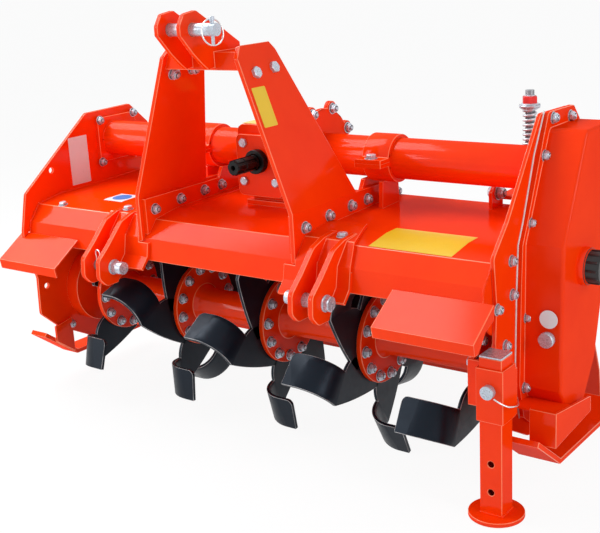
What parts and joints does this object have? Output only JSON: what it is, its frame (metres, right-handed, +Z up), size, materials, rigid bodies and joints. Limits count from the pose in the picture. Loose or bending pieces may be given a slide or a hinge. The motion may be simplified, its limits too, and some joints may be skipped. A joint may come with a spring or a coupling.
{
  "type": "rotary tiller",
  "caption": "Tractor-mounted rotary tiller with a bladed rotor under a steel hood, gearbox and side chain case, three-point headstock, tail board and a parking stand.",
  "frame": {"origin": "centre of the machine's footprint on the floor it is parked on (centre of the bounding box, bottom)", "axes": "+X along the rotor towards the chain case, -Y towards the tractor, +Z up"},
  "size_m": [1.432, 0.6954, 0.9453],
  "materials": {
    "red_paint": "gloss",
    "blade_black": "satin",
    "zinc": "satin",
    "shaft_black": "satin",
    "cap_black": "matte"
  },
  "bodies": {
    "frame": {"rotor_bearing_left": "red_paint", "rotor_bearing_right": "red_paint", "hood": "red_paint", "side_plate_left": "red_paint", "side_plate_right": "red_paint", "deflector_left": "red_paint", "deflector_right": "red_paint", "cross_tube_left": "red_paint", "cross_tube_right": "red_paint", "gearbox": "red_paint", "gearbox_plate": "red_paint", "gearbox_cover": "red_paint", "pto_seal": "shaft_black", "mast_plate_right": "red_paint", "mast_plate_left": "red_paint", "tube_clamp_right": "red_paint", "clamp_base_right": "red_paint", "mast_foot_right": "red_paint", "tube_clamp_left": "red_paint", "clamp_base_left": "red_paint", "mast_foot_left": "red_paint", "toplink_bracket": "red_paint", "toplink_pin": "zinc", "hitch_clevis_right": "red_paint", "hitch_pin_right": "zinc", "hitch_clevis_left": "red_paint", "hitch_pin_left": "zinc", "chain_case": "red_paint", "oil_cap": "cap_black", "level_plug": "zinc", "skid_right": "red_paint", "skid_left": "red_paint", "case_guard": "red_paint", "stand_sleeve": "red_paint", "stand_pin": "zinc", "stand_lanyard": "zinc", "hinge_rod": "zinc", "hinge_leaves": "red_paint", "spring_bracket_right": "red_paint", "spring_bracket_left": "red_paint", "spring_right": "zinc", "spring_left": "zinc"},
    "rotor": {"rotor_shaft": "red_paint", "blades_1": "blade_black", "blades_2": "blade_black", "blades_3": "blade_black", "blades_4": "blade_black", "blades_5": "blade_black"},
    "pto": {"pto_shaft": "shaft_black"},
    "stand": {"stand_leg": "red_paint", "stand_cap": "zinc", "stand_foot": "red_paint"},
    "tail_board": {"tail_board": "red_paint"},
    "rod_right": {"spring_rod_right": "zinc"},
    "rod_left": {"spring_rod_left": "zinc"}
  },
  "joints": [
    {"name": "rotor_spin", "type": "hinge", "parent": "frame", "child": "rotor", "pos_m": [-0.014, -0.06724, 0.23773], "axis": [1, 0, 0], "continuous": true},
    {"name": "pto_spin", "type": "hinge", "parent": "frame", "child": "pto", "pos_m": [-0.06, -0.06724, 0.60373], "axis": [0, 1, 0], "continuous": true},
    {"name": "stand_slide", "type": "slide", "parent": "frame", "child": "stand", "axis": [0, 0, 1], "range_m": [0, 0.0373]},
    {"name": "tail_board_hinge", "type": "hinge", "parent": "frame", "child": "tail_board", "pos_m": [-0.014, 0.16376, 0.46973], "axis": [1, 0, 0], "range_deg": [0, 40]},
    {"name": "spring_rod_right_slide", "type": "slide", "parent": "frame", "child": "rod_right", "axis": [0, 0, 1], "range_m": [0, 0.031], "deforming": ["spring_right"]},
    {"name": "spring_rod_left_slide", "type": "slide", "parent": "frame", "child": "rod_left", "axis": [0, 0, 1], "range_m": [0, 0.031], "deforming": ["spring_left"]}
  ],
  "couplings": [
    {"joint": "pto_spin", "follows": "rotor_spin", "ratio": 2.5},
    {"joint": "spring_rod_right_slide", "follows": "tail_board_hinge", "m_per_rad": 0.044092},
    {"joint": "spring_rod_left_slide", "follows": "tail_board_hinge", "m_per_rad": 0.044092}
  ]
}
